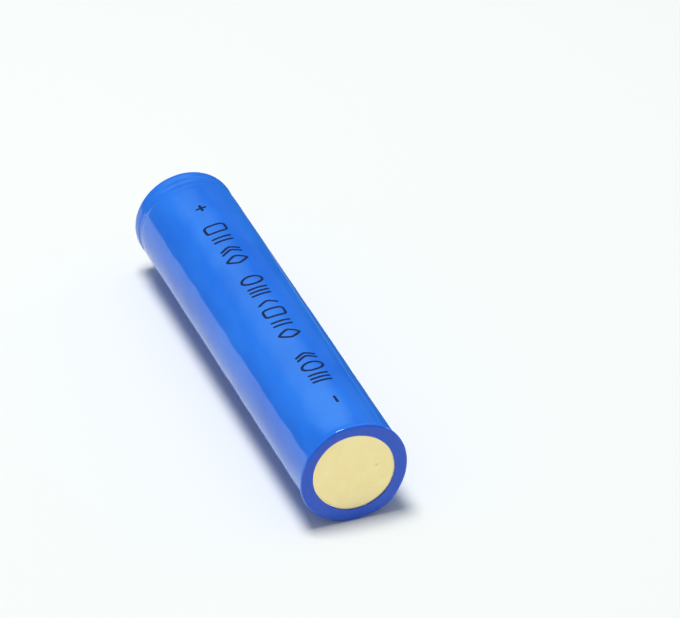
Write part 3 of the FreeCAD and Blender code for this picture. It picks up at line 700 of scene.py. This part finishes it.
def ink_stroke(path, closed, number):
    """A flat oval profile carried along a mark's path and laid on the film.

    Round the profile, the offset to the side is the half stroke times a cosine and the
    lift is the ink's thickness times a sine. Its underside sits in the film.
    """
    flat = path * np.array([INK["width"], INK["height"]]) / 2
    flat[:, 0] -= INK["lean"] * flat[:, 1]
    across = across_path(flat, closed)
    half = half_stroke(flat, closed)[:, None]
    turn = np.linspace(0, 2 * np.pi, INK["sides"], endpoint=False)
    offset = half * np.cos(turn)
    lift = INK["thickness"] * np.sin(turn) * half / (INK["stroke"] / 2)
    along = number * INK["pitch"] + flat[:, :1] + across[:, :1] * offset
    side = flat[:, 1:] + across[:, 1:] * offset
    points = laid_on_film(along, side, lift)
    rows, columns = points.shape[:2]
    faces = wrapped_faces(rows, columns)
    return points.reshape(-1, 3), faces if closed else faces[: (rows - 1) * columns]


def ink_line():
    """All strokes of the line as one mesh: their points in a row, their faces renumbered."""
    points, faces, count = [], [], 0
    for number, mark in enumerate(LINE):
        for path, closed in MARKS[mark]:
            stroke, stroke_faces = ink_stroke(path, closed, number)
            points.append(stroke)
            faces.append(stroke_faces + count)
            count += len(stroke)
    return np.concatenate(points), np.concatenate(faces)


def close_and_turn_out(piece):
    """Merges the points that meet where a stroke ends, and turns its faces outwards."""
    shape = bmesh.new()
    shape.from_mesh(piece.data)
    bmesh.ops.remove_doubles(shape, verts=shape.verts, dist=1e-8)
    bmesh.ops.recalc_face_normals(shape, faces=shape.faces)
    shape.to_mesh(piece.data)
    shape.free()


def navy_ink():
    """Dried ink: nearly black blue, a little thin in places, less glossy than the film."""
    ink = new_material("navy_ink", IOR=1.45, Specular_IOR_Level=0.2)
    cover = grain(ink, size=0.25, detail=4)
    feed(ink, blend(ink, cover, NAVY["thick"], NAVY["thin"]), "Base Color")
    feed(ink, between(ink, cover, 0.25, 0.45), "Roughness")
    return ink


ink_marks = new_piece("ink_marks", *ink_line(), navy_ink(), "shrink_sleeve")
close_and_turn_out(ink_marks)

# ------------------------------------------------------------------ studio
# White paper under the cell, one softbox overhead and a weak light low on the right. The
# other cards glow, show only in the gloss and are painted reflections: a backdrop glowing
# brighter at its top, a dim band behind, and blue panels with a pale strip at the right,
# standing in for a second cell lying there.

STUDIO = {
    "room": (0.92, 0.96, 1.0, 1),
    "room_strength": 0.31,
    "seen": (0.905, 0.945, 0.972, 1),
    "paper": (0.86, 0.882, 0.858, 1),
    "paper_half": 1.5,
}
LIGHTS = {
    "overhead_softbox": {"place": (-0.08, 0.045, 0.8), "side": 0.26, "power": 5.45},
    "low_side_light": {"place": (0.76, 0.16, 0.18), "side": 0.12, "power": 0.25},
}
# Painted reflection: a glowing card seen only in the gloss, dim below and painted brighter
# towards its top.
BACKDROP_REFLECTION = {
    "left": (-1.2, 1.0),
    "right": (1.2, 1.0),
    "height": 1.2,
    "dim": (0.126, 0.168, 0.252),
    "lit": (0.62, 0.95, 0.42),
    "lit_from_to_mm": (600, 840),
}
# Painted reflection: a dim glowing band behind the cell, seen only in the gloss.
BAND_BEHIND = {
    "left": (-0.5, 0.145),
    "right": (0.6, 0.145),
    "height": 0.04,
    "colour": (0.45, 0.60, 0.90, 1),
    "strength": 0.28,
}
# Painted reflections of a second cell lying at the right: glowing blue cards upright and on the
# paper, and a pale strip painted as that cell's highlight, all seen only in the gloss.
NEIGHBOUR_REFLECTION = {
    "blue": (0.045, 0.17, 0.48, 1),
    "pale": (0.20, 0.34, 0.62, 1),
    "near": (0.0400, -0.0030),
    "corner": (0.0095, 0.0240),
    "far": (0.0095, 0.0700),
    "height": 0.0141,
    "strip_near": (0.0398, -0.0032),
    "strip_corner": (0.0093, 0.0238),
    "strip_heights": (0.0052, 0.0074),
    "on_paper": ((0.0085, -0.029), (0.0320, -0.029), (0.0320, 0.004), (0.0085, 0.024)),
    "paper_lift": 0.0002,
}
CAMERA = {
    "lens": 305.8,
    "sensor": 36,
    "place": (-0.2131, -0.58836, 0.42663),
    "turned": (56.467, 0, -20.805),
    "clip": (0.05, 20),
}


def area_light(name, place, side, power):
    """A square soft light at a place, facing the cell's middle on the floor."""
    data = bpy.data.lights.new(name, "AREA")
    data.shape = "RECTANGLE"
    data.size, data.size_y = side, side
    data.energy = power
    light = bpy.data.objects.new(name, data)
    bpy.context.scene.collection.objects.link(light)
    light.location = place
    light.rotation_euler = (-Vector(place)).to_track_quat("-Z", "Y").to_euler()


for name, light in LIGHTS.items():
    area_light(name, **light)

sky = bpy.data.worlds.new("studio")
sky.use_nodes = True
bpy.context.scene.world = sky
tree = sky.node_tree
room = tree.nodes["Background"]
room.inputs["Color"].default_value = STUDIO["room"]
room.inputs["Strength"].default_value = STUDIO["room_strength"]
seen = tree.nodes.new("ShaderNodeBackground")
seen.inputs["Color"].default_value = STUDIO["seen"]
ray = tree.nodes.new("ShaderNodeLightPath")
either = tree.nodes.new("ShaderNodeMixShader")
tree.links.new(ray.outputs["Is Camera Ray"], either.inputs["Fac"])
tree.links.new(room.outputs[0], either.inputs[1])
tree.links.new(seen.outputs[0], either.inputs[2])
tree.links.new(either.outputs[0], tree.nodes["World Output"].inputs["Surface"])


def card(name, corners, material):
    """A flat card of the stage from its four corners."""
    mesh = bpy.data.meshes.new(name)
    mesh.from_pydata(corners, [], [(0, 1, 2, 3)])
    mesh.materials.append(material)
    piece = bpy.data.objects.new(name, mesh)
    bpy.context.scene.collection.objects.link(piece)
    return piece


def upright(start, end, high, low=0.0):
    """The corners of an upright card over the line from start to end, between two heights."""
    return [(*start, low), (*end, low), (*end, high), (*start, high)]


def reflected_card(name, corners, colour, strength=1.0):
    """A glowing card that only glossy rays see, a painted reflection and no lamp. It gives back
    its material.
    """
    glow = new_material(
        name,
        Base_Color=(0, 0, 0, 1),
        Roughness=0.9,
        Specular_IOR_Level=0.0,
        Emission_Color=colour,
        Emission_Strength=strength,
    )
    piece = card(name, corners, glow)
    piece.visible_camera = False
    piece.visible_diffuse = False
    piece.visible_shadow = False
    piece.visible_transmission = False
    return glow


half = STUDIO["paper_half"]
paper = new_material("floor", Base_Color=STUDIO["paper"], Roughness=0.9, Specular_IOR_Level=0.0)
card("floor", [(-half, -half, 0), (half, -half, 0), (half, half, 0), (-half, half, 0)], paper)

# Painted reflection: the dim glowing band behind the cell.
low_band = upright(BAND_BEHIND["left"], BAND_BEHIND["right"], BAND_BEHIND["height"])
reflected_card("painted_reflection_behind", low_band, BAND_BEHIND["colour"], BAND_BEHIND["strength"])

# Painted reflection of a backdrop, its glow rising from dim to lit with height.
wide = upright(BACKDROP_REFLECTION["left"], BACKDROP_REFLECTION["right"], BACKDROP_REFLECTION["height"])
graded = reflected_card("backdrop_reflection", wide, (0, 0, 0, 1))
height = add_node(graded, "SeparateXYZ", Vector=place_in_mm(graded)).outputs["Z"]
rising = between(graded, height, 0, 1, *BACKDROP_REFLECTION["lit_from_to_mm"])
glow = blend(graded, rising, BACKDROP_REFLECTION["dim"], BACKDROP_REFLECTION["lit"], start=0, end=1)
feed(graded, glow, "Emission Color")

# Painted reflections of the second cell: its blue side, its blue on the paper and its pale
# highlight strip.
beside = upright(NEIGHBOUR_REFLECTION["near"], NEIGHBOUR_REFLECTION["corner"], NEIGHBOUR_REFLECTION["height"])
reflected_card("painted_reflection_beside", beside, NEIGHBOUR_REFLECTION["blue"])
past = upright(NEIGHBOUR_REFLECTION["corner"], NEIGHBOUR_REFLECTION["far"], NEIGHBOUR_REFLECTION["height"])
reflected_card("painted_reflection_past", past, NEIGHBOUR_REFLECTION["blue"])
on_paper = [(*corner, NEIGHBOUR_REFLECTION["paper_lift"]) for corner in NEIGHBOUR_REFLECTION["on_paper"]]
reflected_card("painted_reflection_low", on_paper, NEIGHBOUR_REFLECTION["blue"])
strip_low, strip_high = NEIGHBOUR_REFLECTION["strip_heights"]
strip = upright(NEIGHBOUR_REFLECTION["strip_near"], NEIGHBOUR_REFLECTION["strip_corner"], strip_high, strip_low)
reflected_card("painted_highlight_strip", strip, NEIGHBOUR_REFLECTION["pale"])

view = bpy.data.cameras.new("camera")
view.lens = CAMERA["lens"]
view.sensor_width = CAMERA["sensor"]
view.clip_start, view.clip_end = CAMERA["clip"]
camera = bpy.data.objects.new("camera", view)
bpy.context.scene.collection.objects.link(camera)
camera.rotation_euler = np.radians(CAMERA["turned"])
camera.location = CAMERA["place"]
bpy.context.scene.camera = camera
bpy.context.scene.view_settings.view_transform = "Standard"
